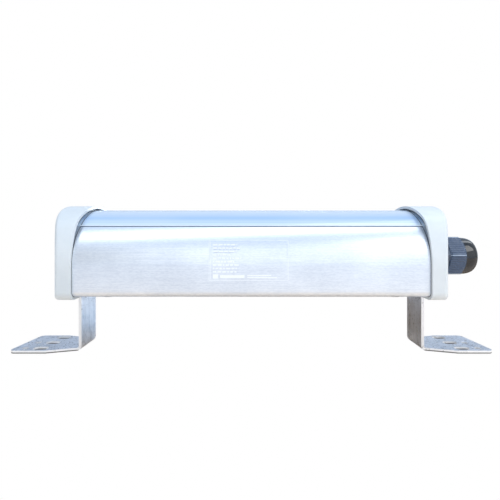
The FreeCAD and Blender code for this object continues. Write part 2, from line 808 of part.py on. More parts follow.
def make_pigtail():
    """Thin coax from the board to the jack: straight runs joined by tangent arcs."""
    points = [V(x, 0, z) for x, z in pigtail_points]
    edges = []
    start = points[0]
    for before, corner, after in zip(points, points[1:], points[2:]):
        back = (before - corner).normalize()
        ahead = (after - corner).normalize()
        turn = math.pi - back.getAngle(ahead)
        run = min((before - corner).Length, (after - corner).Length)
        reach = 0.45 * run
        r = reach / math.tan(turn / 2)
        print("pigtail bend radius", round(r, 2))
        p = corner + back * reach
        q = corner + ahead * reach
        middle = (back + ahead).normalize()
        mid = corner + middle * (r / math.cos(turn / 2) - r)
        edges.append(Part.LineSegment(start, p).toShape())
        edges.append(Part.Arc(p, mid, q).toShape())
        start = q
    edges.append(Part.LineSegment(start, points[-1]).toShape())
    path = Part.Wire(edges)
    ring = Part.Wire([Part.Circle(points[0], V(1, 0, 0), pigtail_r).toShape()])
    tube = path.makePipeShell([ring], True, True)
    print("pigtail length", round(path.Length, 2), "volume ratio",
          round(tube.Volume / (math.pi * pigtail_r ** 2 * path.Length), 4))
    return tube


def make_socket_plate():
    """Angle plate that carries the jack in line with the gland."""
    upright = box(plate_x, plate_x + plate_thick, -plate_half, plate_half, rail_top, plate_top)
    foot = box(plate_foot_x, plate_x + plate_thick, -plate_half, plate_half, rail_top,
               rail_top + plate_thick)
    tools = [rod_x(0, big, jack_hole_r)]
    tools += [rod_z(0, big, loose_hole_r, plate_screw_x, s * plate_screw_y) for s in (-1, 1)]
    return cut(fuse([upright, foot]), tools)


def make_plate_screws():
    """Two screws that hold the angle plate."""
    seat = rail_top + plate_thick
    depth = plate_thick + post_screw_depth - screw_tip_gap
    return Part.makeCompound([small_screw(plate_screw_x, s * plate_screw_y, seat, depth) for s in (-1, 1)])


def make_jack():
    """Coaxial jack with a flange behind the plate."""
    rear = pigtail_points[-1][0]
    body = fuse([rod_x(rear, jack_end_x, jack_r), rod_x(rear, plate_x, jack_flange_r)])
    return body.cut(rod_x(jack_end_x - jack_bore_length, big, jack_bore_r))


def make_jack_nut():
    """Thin hex nut in front of the plate."""
    x0 = plate_x + plate_thick
    return hexagon(x0, x0 + jack_nut_thick, jack_nut_half, 0.0).cut(rod_x(0, big, jack_r))


save("housing_trough", make_trough())
save("radome_cover", make_cover())
for side, name in ((-1, "front"), (1, "rear")):
    save(f"cover_seal_{name}", make_cover_seal(side))
save("end_cap_right", make_cap(True))
save("end_cap_left", mirror_x(make_cap(False)))
pairs = {
    "end_gasket": make_gasket(),
    "cap_screws": make_cap_screws(),
    "bracket": make_bracket(),
    "bracket_bolt": make_bracket_bolt(),
    "bracket_washer": make_bracket_washer(),
    "t_nut": make_t_nut(),
}
for name, shape in pairs.items():
    save(f"{name}_right", shape)
    save(f"{name}_left", mirror_x(shape))
save("gland_body", make_gland_body())
save("gland_o_ring", make_gland_o_ring())
save("gland_locknut", make_gland_locknut())
save("gland_sleeve", make_gland_sleeve())
save("gland_claw", make_gland_claw())
save("gland_dome_nut", make_gland_dome_nut())
save("boom", make_boom())
save("reflector_element", make_rod(reflector_x, reflector_length))
save("driven_element", make_driven())
for i, (x, length) in enumerate(director_places()):
    save(f"director_{i + 1:02d}", make_rod(x, length))
for i, x in enumerate(post_xs):
    save(f"boom_post_{i + 1}", make_post(x))
save("boom_screws", make_boom_screws())
save("post_screws", make_post_screws())
save("feed_block", make_feed_block())
save("balun_board", make_balun_board())
save("coax_pigtail", make_pigtail())
save("coax_jack", make_jack())
save("jack_nut", make_jack_nut())
save("socket_plate", make_socket_plate())
save("plate_screws", make_plate_screws())
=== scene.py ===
import json
import math
import bpy
import numpy as np
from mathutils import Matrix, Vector


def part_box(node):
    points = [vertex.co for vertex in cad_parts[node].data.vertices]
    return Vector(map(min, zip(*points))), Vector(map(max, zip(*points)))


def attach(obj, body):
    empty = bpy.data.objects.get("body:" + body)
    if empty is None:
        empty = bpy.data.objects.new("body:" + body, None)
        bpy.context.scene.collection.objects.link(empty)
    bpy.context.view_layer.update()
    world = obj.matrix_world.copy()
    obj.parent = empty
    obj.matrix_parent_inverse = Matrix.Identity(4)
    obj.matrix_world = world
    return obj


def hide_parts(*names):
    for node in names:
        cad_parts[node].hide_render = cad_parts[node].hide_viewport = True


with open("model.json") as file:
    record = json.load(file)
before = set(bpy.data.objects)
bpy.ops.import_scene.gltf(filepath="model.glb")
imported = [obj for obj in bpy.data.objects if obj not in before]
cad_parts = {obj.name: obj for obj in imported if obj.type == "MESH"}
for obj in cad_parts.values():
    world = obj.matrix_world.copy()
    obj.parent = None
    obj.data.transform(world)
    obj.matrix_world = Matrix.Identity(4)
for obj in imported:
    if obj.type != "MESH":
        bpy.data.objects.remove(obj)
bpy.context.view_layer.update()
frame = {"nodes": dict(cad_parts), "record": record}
nodes = frame["nodes"]
slotOf = {row["node"]: row["material_slot"] for row in frame["record"]["subparts"]}
print("frame loaded:", len(nodes), "nodes")

noiseBand = (0.3, 0.7)  # nearly all of a noise's values lie in this range


def newMaterial(name):
    mat = bpy.data.materials.new(name)
    mat.use_nodes = True
    return mat, mat.node_tree, mat.node_tree.nodes["Principled BSDF"]


def setSockets(shader, values):
    for key, value in values.items():
        shader.inputs[key].default_value = value


def objectCoords(tree, scale=(1, 1, 1)):
    place = tree.nodes.new("ShaderNodeTexCoord")
    mapping = tree.nodes.new("ShaderNodeMapping")
    mapping.inputs["Scale"].default_value = scale
    tree.links.new(place.outputs["Object"], mapping.inputs["Vector"])
    return mapping.outputs["Vector"]


def noise(tree, vector, scale, detail=4.0, rough=0.55):
    node = tree.nodes.new("ShaderNodeTexNoise")
    node.inputs["Scale"].default_value = scale
    node.inputs["Detail"].default_value = detail
    node.inputs["Roughness"].default_value = rough
    tree.links.new(vector, node.inputs["Vector"])
    return node.outputs["Fac"]


def remap(tree, value, fromLow, fromHigh, toLow, toHigh):
    # the value goes linearly from one range to another and stays inside it
    node = tree.nodes.new("ShaderNodeMapRange")
    node.inputs["From Min"].default_value = fromLow
    node.inputs["From Max"].default_value = fromHigh
    node.inputs["To Min"].default_value = toLow
    node.inputs["To Max"].default_value = toHigh
    tree.links.new(value, node.inputs["Value"])
    return node.outputs["Result"]


def mixColour(tree, fac, first, second):
    # each colour is three numbers or another node's output
    node = tree.nodes.new("ShaderNodeMix")
    node.data_type = "RGBA"
    tree.links.new(fac, node.inputs["Factor"])
    for key, colour in (("A", first), ("B", second)):
        socket = next(s for s in node.inputs if s.name == key and s.type == "RGBA")
        if isinstance(colour, tuple):
            socket.default_value = (*colour, 1.0)
        else:
            tree.links.new(colour, socket)
    return next(s for s in node.outputs if s.type == "RGBA")


def combine(tree, first, second, operation="MULTIPLY"):
    # each value is a number or another node's output
    node = tree.nodes.new("ShaderNodeMath")
    node.operation = operation
    for i, value in enumerate((first, second)):
        if isinstance(value, float):
            node.inputs[i].default_value = value
        else:
            tree.links.new(value, node.inputs[i])
    return node.outputs[0]


def readAttribute(tree, name):
    node = tree.nodes.new("ShaderNodeAttribute")
    node.attribute_name = name
    return node.outputs["Fac"]


def splitAxes(tree, vector):
    node = tree.nodes.new("ShaderNodeSeparateXYZ")
    tree.links.new(vector, node.inputs["Vector"])
    return node.outputs


def absolute(tree, value):
    return combine(tree, value, 0.0, "ABSOLUTE")


def bump(tree, shader, height, strength, distance):
    node = tree.nodes.new("ShaderNodeBump")
    node.inputs["Strength"].default_value = strength
    node.inputs["Distance"].default_value = distance
    tree.links.new(height, node.inputs["Height"])
    tree.links.new(node.outputs["Normal"], shader.inputs["Normal"])


def makePiece(name, verts, faces, body, material, smooth=True):
    # one mesh at the origin, riding on a body
    mesh = bpy.data.meshes.new(name)
    mesh.from_pydata(verts.tolist(), [], faces.tolist())
    mesh.update()
    if smooth:
        mesh.shade_smooth()
    mesh.materials.append(material)
    obj = bpy.data.objects.new(name, mesh)
    bpy.context.scene.collection.objects.link(obj)
    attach(obj, body)
    return obj


def paintPoints(obj, name, values):
    # one number per vertex, for a material to read
    layer = obj.data.attributes.new(name, "FLOAT", "POINT")
    layer.data.foreach_set("value", values.reshape(-1).astype(np.float32))


def gridFaces(rows, columns, closeRows=False, closeColumns=False):
    # quads over a rows x columns grid of points, wrapped round where asked
    r = np.arange(rows if closeRows else rows - 1)
    c = np.arange(columns if closeColumns else columns - 1)
    a, b = np.meshgrid(r, c, indexing="ij")
    a2 = (a + 1) % rows
    b2 = (b + 1) % columns
    quads = np.stack([a * columns + b, a * columns + b2, a2 * columns + b2, a2 * columns + b], -1)
    return quads.reshape(-1, 4)


brushed = {
    "low": (0.63, 0.68, 0.76),
    "high": (0.89, 0.925, 0.965),
    "rough": (0.44, 0.26),               # where the blend is low, where it is high
    "streaks": (30.0, 2400.0, 2400.0),   # cells per metre along X, Y and Z
    "grit": 1500.0,
    "gritStretch": (0.35, 1.0, 1.0),
    "clouds": 26.0,
    "shares": (0.4, 0.3, 0.3),           # of streaks, grit and clouds in the blend
    "steep": (0.35, 0.65),               # a narrower noise range, for more contrast
    "bumpStrength": 0.3,
    "bumpDepth": 0.00005,
}


def brushedAluminium(name, s=brushed):
    # fine streaks along X with satin grit and slow clouds over them
    mat, tree, shader = newMaterial(name)
    setSockets(shader, {"Metallic": 1.0})
    streakShare, gritShare, cloudShare = s["shares"]
    streaks = noise(tree, objectCoords(tree, s["streaks"]), 1.0, 5.0, 0.65)
    grit = noise(tree, objectCoords(tree, s["gritStretch"]), s["grit"], 3.0, 0.6)
    clouds = noise(tree, objectCoords(tree), s["clouds"], 3.0)
    streakPart = remap(tree, streaks, *noiseBand, 0.0, streakShare)
    gritPart = remap(tree, grit, *s["steep"], 0.0, gritShare)
    cloudPart = remap(tree, clouds, *s["steep"], 0.0, cloudShare)
    blend = combine(tree, combine(tree, streakPart, gritPart, "ADD"), cloudPart, "ADD")
    tree.links.new(mixColour(tree, blend, s["low"], s["high"]), shader.inputs["Base Color"])
    tree.links.new(remap(tree, blend, 0.0, 1.0, *s["rough"]), shader.inputs["Roughness"])
    bump(tree, shader, combine(tree, streaks, grit, "ADD"), s["bumpStrength"], s["bumpDepth"])
    return mat


cover = {
    # the painted reflection's tints across the arch, over the cover's own blue
    "edge": (0.68, 0.78, 0.86),
    "shoulder": (0.34, 0.50, 0.74),
    "crown": (0.62, 0.70, 0.80),
    "edgeY": 0.0255,                     # distance from the middle where each painted reflection tint is full
    "shoulderY": 0.019,
    "crownY": 0.012,
    "rough": (0.12, 0.24),
    "drawLines": (2.0, 900.0, 260.0),    # cells per metre along X, Y and Z
    "lineBand": (0.35, 0.65),            # the part of each noise's range that shows
    "lineShare": 0.45,
    "clouds": 14.0,
    "cloudBand": (0.4, 0.7),
    "cloudShare": 0.2,
    "bumpStrength": 0.15,
    "bumpDepth": 0.00003,
    "sockets": {"Coat Weight": 0.3, "Coat Roughness": 0.05, "IOR": 1.49, "Specular IOR Level": 0.6},
}


def glossyCover(name, s=cover):
    # a painted reflection over the cover's own blue: deep on the shoulder of the arch, pale at its foot;
    # faint draw lines run along the extrusion under a gloss
    mat, tree, shader = newMaterial(name)
    setSockets(shader, s["sockets"])
    across = absolute(tree, splitAxes(tree, objectCoords(tree))["Y"])
    lines = noise(tree, objectCoords(tree, s["drawLines"]), 1.0, 4.0)
    clouds = noise(tree, objectCoords(tree), s["clouds"], 2.0)
    # painted reflection: the tint follows the distance across the arch
    paintedReflectionToShoulder = remap(tree, across, s["crownY"], s["shoulderY"], 0.0, 1.0)
    paintedReflectionToEdge = remap(tree, across, s["shoulderY"], s["edgeY"], 0.0, 1.0)
    blueWithPaintedReflection = mixColour(tree, paintedReflectionToShoulder, s["crown"], s["shoulder"])
    blueWithPaintedReflection = mixColour(tree, paintedReflectionToEdge, blueWithPaintedReflection, s["edge"])
    blueWithPaintedReflection = mixColour(tree, remap(tree, lines, *s["lineBand"], 0.0, s["lineShare"]), blueWithPaintedReflection, s["shoulder"])
    blueWithPaintedReflection = mixColour(tree, remap(tree, clouds, *s["cloudBand"], 0.0, s["cloudShare"]), blueWithPaintedReflection, s["crown"])
    tree.links.new(blueWithPaintedReflection, shader.inputs["Base Color"])
    tree.links.new(remap(tree, lines, *noiseBand, *s["rough"]), shader.inputs["Roughness"])
    bump(tree, shader, lines, s["bumpStrength"], s["bumpDepth"])
    return mat


moulded = {
    "low": (0.62, 0.67, 0.70),
    "high": (0.76, 0.80, 0.825),
    "rough": (0.36, 0.5),
    "grain": 2600.0,
    "tone": 35.0,
    "toneShare": 0.8,
    "rubs": (60.0, 60.0, 420.0),         # cells per metre along X, Y and Z
    "rubsFrom": (0.6, 0.75),             # only the noise's peaks make a rub mark
    "rubShare": 0.25,
    "bumpStrength": 0.25,
    "bumpDepth": 0.00005,
    "sockets": {"IOR": 1.5, "Subsurface Weight": 0.04, "Subsurface Radius": (0.003, 0.003, 0.002)},
}


def mouldedPlastic(name, s=moulded):
    # fine spark-eroded grain, slow tone changes and a few pale rub marks
    mat, tree, shader = newMaterial(name)
    setSockets(shader, s["sockets"])
    grain = noise(tree, objectCoords(tree), s["grain"], 2.0)
    tone = noise(tree, objectCoords(tree), s["tone"], 4.0)
    rubs = noise(tree, objectCoords(tree, s["rubs"]), 1.0, 5.0, 0.7)
    tonePart = remap(tree, tone, *noiseBand, 0.0, s["toneShare"])
    rubPart = remap(tree, rubs, *s["rubsFrom"], 0.0, s["rubShare"])
    both = combine(tree, tonePart, rubPart, "ADD")
    tree.links.new(mixColour(tree, both, s["low"], s["high"]), shader.inputs["Base Color"])
    tree.links.new(remap(tree, grain, *noiseBand, *s["rough"]), shader.inputs["Roughness"])
    bump(tree, shader, grain, s["bumpStrength"], s["bumpDepth"])
    return mat


sheetSteel = {
    "low": (0.48, 0.50, 0.54),
    "high": (0.82, 0.84, 0.88),
    "rough": (0.20, 0.42),
    "rolling": (60.0, 900.0, 60.0),      # cells per metre along X, Y and Z
    "smudges": 120.0,
    "share": 0.5,                        # of the rolling in the blend, and the same of the smudges
    "pits": 900.0,
    "pitAndShadeColour": (0.07, 0.055, 0.045),
    "pitsAndShadeFrom": (0.66, 0.72),            # only the noise's peaks make a pit or a patch of painted shade
    "pitAndShadeShare": 0.85,
    "lowBend": 0.009,                    # painted shade: darker below this height, most at the floor
    "highBend": (0.026, 0.034),          # and more painted shade from the first height to the second
    "bendShade": 0.09,
    "footTop": (0.0018, 0.0020),         # the cut face's painted highlight and dark edge end between these heights
    "uprightFrom": (0.35, 0.55),         # a face's slope, from upright to flat
    "facingFrom": (0.75, 0.95),          # how squarely a cut end faces front or back
    "cutHighlightShare": 0.6,
    "cutHighlightColour": (0.95, 0.97, 1.0),
    "cutMetallic": 0.25,
    "lowerEdgeColour": (0.05, 0.045, 0.04),
    "lowerEdgeTop": (0.0005, 0.0009),
    "lowerEdgeShare": 0.9,
    "bumpStrength": 0.35,
    "bumpDepth": 0.00008,
}


def rolledSteel(name, s=sheetSteel):
    # rolled grain and smudges, with dark pits and painted shade near the bends; the sheet's cut faces carry
    # a painted highlight, and the foot's lower edge is darker
    mat, tree, shader = newMaterial(name)
    setSockets(shader, {"Metallic": 1.0})
    rolled = noise(tree, objectCoords(tree, s["rolling"]), 1.0, 5.0, 0.65)
    smudge = noise(tree, objectCoords(tree), s["smudges"], 5.0, 0.6)
    pits = noise(tree, objectCoords(tree), s["pits"], 3.0, 0.6)
    rolledPart = remap(tree, rolled, *noiseBand, 0.0, s["share"])
    smudgePart = remap(tree, smudge, *noiseBand, 0.0, s["share"])
    blend = combine(tree, rolledPart, smudgePart, "ADD")
    colour = mixColour(tree, blend, s["low"], s["high"])
    height = splitAxes(tree, objectCoords(tree))["Z"]
    # painted shade near the bends, added to the pit noise
    paintedShadeLowBend = remap(tree, height, 0.0, s["lowBend"], s["bendShade"], 0.0)
    paintedShadeHighBend = remap(tree, height, *s["highBend"], 0.0, s["bendShade"])
    pitsAndBendShade = combine(tree, pits, combine(tree, paintedShadeLowBend, paintedShadeHighBend, "ADD"), "ADD")
    pitsAndBendShadePart = remap(tree, pitsAndBendShade, *s["pitsAndShadeFrom"], 0.0, s["pitAndShadeShare"])
    colour = mixColour(tree, pitsAndBendShadePart, colour, s["pitAndShadeColour"])
    facing = splitAxes(tree, tree.nodes.new("ShaderNodeNewGeometry").outputs["Normal"])
    upright = remap(tree, absolute(tree, facing["Z"]), *s["uprightFrom"], 1.0, 0.0)
    inFoot = combine(tree, upright, remap(tree, height, *s["footTop"], 1.0, 0.0))
    squarely = remap(tree, absolute(tree, facing["Y"]), *s["facingFrom"], 0.0, s["cutHighlightShare"])
    # painted highlight: the cut faces are made pale and less metallic
    cutFaceHighlight = combine(tree, inFoot, squarely, "MAXIMUM")
    colour = mixColour(tree, cutFaceHighlight, colour, s["cutHighlightColour"])
    # darker along the foot's lower edge
    lowerEdgeDark = combine(tree, inFoot, remap(tree, height, *s["lowerEdgeTop"], 1.0, 0.0))
    colour = mixColour(tree, combine(tree, lowerEdgeDark, s["lowerEdgeShare"]), colour, s["lowerEdgeColour"])
    tree.links.new(colour, shader.inputs["Base Color"])
    tree.links.new(remap(tree, cutFaceHighlight, 0.0, 1.0, 1.0, s["cutMetallic"]), shader.inputs["Metallic"])
    tree.links.new(remap(tree, blend, 0.0, 1.0, *s["rough"]), shader.inputs["Roughness"])
    bump(tree, shader, combine(tree, rolled, smudge, "ADD"), s["bumpStrength"], s["bumpDepth"])
    return mat


glandSkin = {
    # a painted highlight along the waist's hex corners
    "cornerHighlight": (0.42, 0.50, 0.62),
    # the waist's black nylon with a painted blue sky reflection in it
    "waist": (0.040, 0.068, 0.125),
    "lighter": 1.35,                     # the waist's mottling, times its colour
    "mottleBand": (0.4, 0.7),
    "mottleShare": 0.6,
    "dome": (0.010, 0.011, 0.013),
    "rough": (0.34, 0.06),               # of the waist, of the dome
    "roughMottle": 0.04,
    "grain": 1800.0,
    "bumpStrength": 0.15,
    "bumpDepth": 0.00002,
    "sockets": {"IOR": 1.53, "Specular IOR Level": 0.5},
}


def glandFinish(name, s=glandSkin):
    # satin on the gripped waist, its black tinted blue as a painted sky reflection and made pale along its
    # corners as a painted highlight; polished where the shine attribute is 1
    mat, tree, shader = newMaterial(name)
    setSockets(shader, s["sockets"])
    shine = readAttribute(tree, "shine")
    fine = noise(tree, objectCoords(tree), s["grain"], 4.0)
    light = tuple(s["lighter"] * c for c in s["waist"])
    mottle = remap(tree, fine, *s["mottleBand"], 0.0, s["mottleShare"])
    waist = mixColour(tree, mottle, s["waist"], light)
    # painted highlight along the hex corners
    waist = mixColour(tree, readAttribute(tree, "corner"), waist, s["cornerHighlight"])
    tree.links.new(mixColour(tree, shine, waist, s["dome"]), shader.inputs["Base Color"])
    rough = remap(tree, shine, 0.0, 1.0, *s["rough"])
    rough = combine(tree, rough, remap(tree, fine, *noiseBand, 0.0, s["roughMottle"]), "ADD")
    tree.links.new(rough, shader.inputs["Roughness"])
    bump(tree, shader, fine, s["bumpStrength"], s["bumpDepth"])
    return mat


def plainFinish(name, colour, metallic, rough, grain, depth, spread=0.15):
    # one colour, mottled by a fine noise that also moves roughness and bump
    mat, tree, shader = newMaterial(name)
    setSockets(shader, {"Metallic": metallic})
    fine = noise(tree, objectCoords(tree), grain, 4.0)
    dark = tuple(c * (1 - spread) for c in colour)
    light = tuple(min(1.0, c * (1 + spread)) for c in colour)
    mottled = mixColour(tree, remap(tree, fine, *noiseBand, 0.0, 1.0), dark, light)
    tree.links.new(mottled, shader.inputs["Base Color"])
    tree.links.new(remap(tree, fine, *noiseBand, rough * 0.8, rough * 1.25), shader.inputs["Roughness"])
    bump(tree, shader, fine, 0.25, depth)
    return mat


# a plain finish is a colour, metallic, roughness, grain per metre, bump depth and spread of the mottling
finishes = {
    "aluminium_housing": brushedAluminium("housingBrushed"),
    "cover_plastic": glossyCover("coverGloss"),
    "cap_plastic": mouldedPlastic("capMoulded"),
    "bracket_steel": rolledSteel("bracketRolled"),
    "seal_rubber": plainFinish("sealRubber", (0.03, 0.03, 0.03), 0.0, 0.6, 1500.0, 0.00004),
    "screw_steel": plainFinish("screwZinc", (0.55, 0.55, 0.57), 1.0, 0.3, 900.0, 0.00002),
    # black nylon with a painted blue sky reflection in its colour
    "gland_nylon": plainFinish("glandNylonReflectionTint", (0.045, 0.065, 0.105), 0.0, 0.3, 1800.0, 0.00002, 0.3),
    "aerial_aluminium": plainFinish("aerialDrawn", (0.75, 0.75, 0.76), 1.0, 0.3, 700.0, 0.00002),
    "dipole_brass": plainFinish("dipoleBrass", (0.78, 0.58, 0.26), 1.0, 0.25, 800.0, 0.00002),
    "inner_plastic": plainFinish("innerNylon", (0.82, 0.82, 0.79), 0.0, 0.45, 1600.0, 0.00003, 0.05),
    "board_laminate": plainFinish("boardMask", (0.03, 0.22, 0.09), 0.0, 0.3, 600.0, 0.00002),
    "coax_jacket": plainFinish("coaxJacket", (0.30, 0.17, 0.08), 0.0, 0.3, 900.0, 0.00002),
}
for name, obj in nodes.items():
    obj.data.materials.clear()
    obj.data.materials.append(finishes[slotOf[name]])
print("materials on", len(nodes), "nodes")

nut = {
    "across": 0.0240,                    # over the flats
    "cornerCut": 0.0134,                 # the corners' radius
    "turn": math.radians(6.0),
    "ribs": 54,
    "ribDepth": 0.00026,
    "ribStop": 0.47,                     # angle from a flat's middle, in radians, where the ribs fade
    "ribFade": 90,
    "ridge": (0.495, 0.02),              # angle where a corner's painted highlight starts, and how far to full
    "skirt": ((0.0, 0.0119), (0.0, 0.0122), (0.0002, 0.0125), (0.0004, 0.0126)),  # distance, radius
    "waistStart": 0.0004,
    "waistEnd": 0.0103,
    # places along the waist, and how much of the full hexagon each has
    "waistRings": ((0.02, 0.35), (0.05, 0.75), (0.1, 1.0), (0.5, 1.0), (0.9, 1.0), (0.95, 0.7), (0.98, 0.25)),
    "step": 0.0006,
    "domeR": 0.01195,
    "tipR": 0.0082,
    "bulge": 2.7,                        # the dome's power: 2 is an ellipse, more is squarer
    "domeRings": 36,
    "mouthR": 0.0067,
    "mouthRound": 0.0004,
    "lip": 0.0031,
    "clawR": 0.0090,
    "clawEnd": 0.0086,
    "boreR": 0.00946,
    "boreEnd": 0.0085,
    "boreRound": (0.0004, 0.0003),
    "aroundCount": 864,
}


def makeDomeNut(s=nut):
    # around the axis: a hexagon (half width over the cosine of the angle from the nearest flat's middle,
    # cut at the corners) with cosine ribs; along it: skirt, waist, a step in, then a dome whose radius falls
    # as (1 - distance to the power bulge) to the power 1 / bulge, then mouth, lip and bore
    low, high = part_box("gland_dome_nut")
    sleeveLow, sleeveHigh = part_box("gland_sleeve")
    length = high.x - low.x
    axisZ = sleeveLow.z / 2 + sleeveHigh.z / 2
    angle = np.linspace(0, 2 * math.pi, s["aroundCount"], endpoint=False)
    fold = (angle - s["turn"]) % (math.pi / 3) - math.pi / 6
    hexR = np.minimum(s["across"] / 2 / np.cos(fold), s["cornerCut"])
    rib = 0.5 + 0.5 * np.cos(s["ribs"] * (angle - s["turn"]))
    flatPart = 1 / (1 + np.exp((np.abs(fold) - s["ribStop"]) * s["ribFade"]))
    waistR = hexR - s["ribDepth"] * rib * flatPart
    quarter = np.sin(np.linspace(0, 1, s["domeRings"]) * math.pi / 2)
    domeStart = s["waistEnd"] + s["step"]
    domeX = domeStart + (length - domeStart) * quarter
    domeR = s["tipR"] + (s["domeR"] - s["tipR"]) * (1 - quarter ** s["bulge"]) ** (1 / s["bulge"])
    skirt = np.array(s["skirt"])
    waistAt, waistKeep = np.array(s["waistRings"]).T
    waistX = s["waistStart"] + (s["waistEnd"] - s["waistStart"]) * waistAt
    boreIn, boreOut = s["boreRound"]
    inner = np.array([
        [length, s["mouthR"] + s["mouthRound"]],
        [length - s["mouthRound"], s["mouthR"]],
        [length - s["lip"], s["mouthR"]],
        [length - s["lip"], s["clawR"]],
        [s["clawEnd"], s["clawR"]],
        [s["boreEnd"], s["boreR"]],
        [boreIn, s["boreR"]],
        [0.0, s["boreR"] + boreOut],
    ])
    ones = np.ones_like(angle)
    radius = np.concatenate([
        np.outer(skirt[:, 1], ones),
        s["domeR"] + np.outer(waistKeep, waistR - s["domeR"]),
        np.outer(domeR, ones),
        np.outer(inner[:, 1], ones),
    ])
    along = np.concatenate([skirt[:, 0], waistX, domeX, inner[:, 0]])
    x = np.outer(along, ones)
    verts = np.stack([low.x + x, -radius * np.cos(angle), axisZ + radius * np.sin(angle)], -1).reshape(-1, 3)
    faces = gridFaces(len(along), len(angle), closeRows=True, closeColumns=True)
    obj = makePiece("domeNutRibbed", verts, faces, "gland_nut", glandFinish("glandRibbed"))
    paintPoints(obj, "shine", np.clip((x - s["waistEnd"]) / s["step"], 0, 1))
    # the corner attribute carries the painted highlight along the waist's hex corners
    ridgeStart, ridgeWidth = s["ridge"]
    ridge = np.clip((np.abs(fold) - ridgeStart) / ridgeWidth, 0, 1)
    paintPoints(obj, "corner", ridge * (x > s["waistStart"]) * (x < s["waistEnd"]))
    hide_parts("gland_dome_nut")
    print("dome nut:", len(faces), "faces")


etched = {
    "left": -0.0238,
    "right": 0.0207,
    "bottom": 0.0485,
    "top": 0.0712,
    "line": 0.00022,
    "innerLine": 0.0008,                 # the second upright line, in from the outline
    "rows": 9,
    "rowPitch": 0.0019,
    "barHeight": 0.0008,
    "inset": 0.0022,
    "dash": (0.0008, 0.0028),
    "gap": 0.0006,
    "rowLength": 0.0165,
    "rowShare": (0.55, 0.45),            # the fixed and the random part of a row's length
    "footRise": 0.0011,
    # wider bars at the foot: left, right, low, high, from the field's left side and the bars' own foot
    "footBars": ((0.0022, 0.0052, 0.0, 0.0024), (0.0062, 0.0200, 0.0003, 0.0020),
                 (0.0215, 0.0350, 0.0014, 0.0020), (0.0215, 0.0380, 0.0003, 0.0009)),
    "proud": 0.00003,
    "sunk": 0.00005,
    "chamfer": 0.00002,
    "seed": 7,
}


def makeEtchedField(s=etched):
    # a plain outline and rows of bars, each a low box on the housing's front face
    rng = np.random.default_rng(s["seed"])
    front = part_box("housing_trough")[0].y
    left = s["left"]
    right = s["right"]
    bottom = s["bottom"]
    top = s["top"]
    line = s["line"]
    inner = s["innerLine"]
    boxes = [
        (left, right, top - line, top),
        (left, right, bottom, bottom + line),
        (left, left + line, bottom, top),
        (right - line, right, bottom, top),
        (left + inner, left + inner + line, bottom + inner, top - inner),
    ]
    fixedPart, randomPart = s["rowShare"]
    for row in range(s["rows"]):
        z = top - s["inset"] - row * s["rowPitch"]
        x = left + s["inset"]
        stop = x + s["rowLength"] * (fixedPart + randomPart * rng.random())
        while x < stop:
            run = rng.uniform(*s["dash"])
            boxes.append((x, min(x + run, stop), z - s["barHeight"], z))
            x += run + s["gap"]
    foot = bottom + s["footRise"]
    boxes += [(left + a, left + b, foot + c, foot + d) for a, b, c, d in s["footBars"]]
    b = np.array(boxes)
    xs = b[:, [0, 1, 1, 0]]
    zs = b[:, [2, 2, 3, 3]]
    nudge = s["chamfer"] * np.array([1, -1, -1, 1])
    lower = np.stack([xs, np.full_like(xs, front + s["sunk"]), zs], -1)
    upper = np.stack([xs + nudge, np.full_like(xs, front - s["proud"]), zs], -1)
    verts = np.concatenate([lower, upper], 1).reshape(-1, 3)
    block = np.array([[4, 5, 6, 7], [3, 2, 1, 0], [0, 1, 5, 4], [1, 2, 6, 5], [2, 3, 7, 6], [3, 0, 4, 7]])
    faces = (block[None] + 8 * np.arange(len(b))[:, None, None]).reshape(-1, 4)
    paint = plainFinish("etchedWhite", (0.90, 0.94, 0.98), 0.0, 0.5, 2500.0, 0.00002, 0.04)
    makePiece("etchedField", verts, faces, "housing", paint, smooth=False)
    print("etched field:", len(b), "bars")


bead = {
    "r": 0.00026,
    "y": 0.0254,
    "rise": 0.00045,                     # above the housing's upper edge
    # the dark tube of painted shade in the seam's gap
    "edgeR": 0.00024,
    "edgeY": 0.0255,
    "edgeRise": -0.00005,
    "endInset": 0.0024,
    "aroundCount": 16,
    "alongCount": 60,
}


def straightTubes(z, r, reach, y, aroundCount, alongCount):
    # a circle of radius r carried along X, once at each side of the housing
    turn = np.linspace(0, 2 * math.pi, aroundCount, endpoint=False)
    x = np.linspace(-reach, reach, alongCount)
    side = np.array([-1, 1])
    shape = (2, alongCount, aroundCount)
    gridX = np.broadcast_to(x[None, :, None], shape)
    gridY = np.broadcast_to((side[:, None] * y)[:, :, None] + r * np.cos(turn), shape)
    gridZ = np.broadcast_to(z + r * np.sin(turn), shape)
    quads = gridFaces(alongCount, aroundCount, closeColumns=True)
    faces = np.concatenate([quads, quads + alongCount * aroundCount])
    return np.stack([gridX, gridY, gridZ], -1).reshape(-1, 3), faces


def makeSeamBeads(s=bead):
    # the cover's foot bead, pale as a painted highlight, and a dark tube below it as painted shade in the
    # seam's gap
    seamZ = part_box("housing_trough")[1].z
    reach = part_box("radome_cover")[1].x - s["endInset"]
    counts = (s["aroundCount"], s["alongCount"])
    # a painted highlight on the bead
    seamHighlight = plainFinish("seamBeadHighlight", (0.80, 0.88, 0.96), 0.0, 0.12, 900.0, 0.00001, 0.04)
    # painted shade in the seam's gap
    dark = plainFinish("seamGapShade", (0.10, 0.15, 0.24), 0.0, 0.5, 900.0, 0.00001, 0.2)
    verts, faces = straightTubes(seamZ + s["rise"], s["r"], reach, s["y"], *counts)
    makePiece("seamHighlightBeads", verts, faces, "housing", seamHighlight)
    verts, faces = straightTubes(seamZ + s["edgeRise"], s["edgeR"], reach, s["edgeY"], *counts)
    makePiece("seamShadeLines", verts, faces, "housing", dark)
    print("seam beads ready")


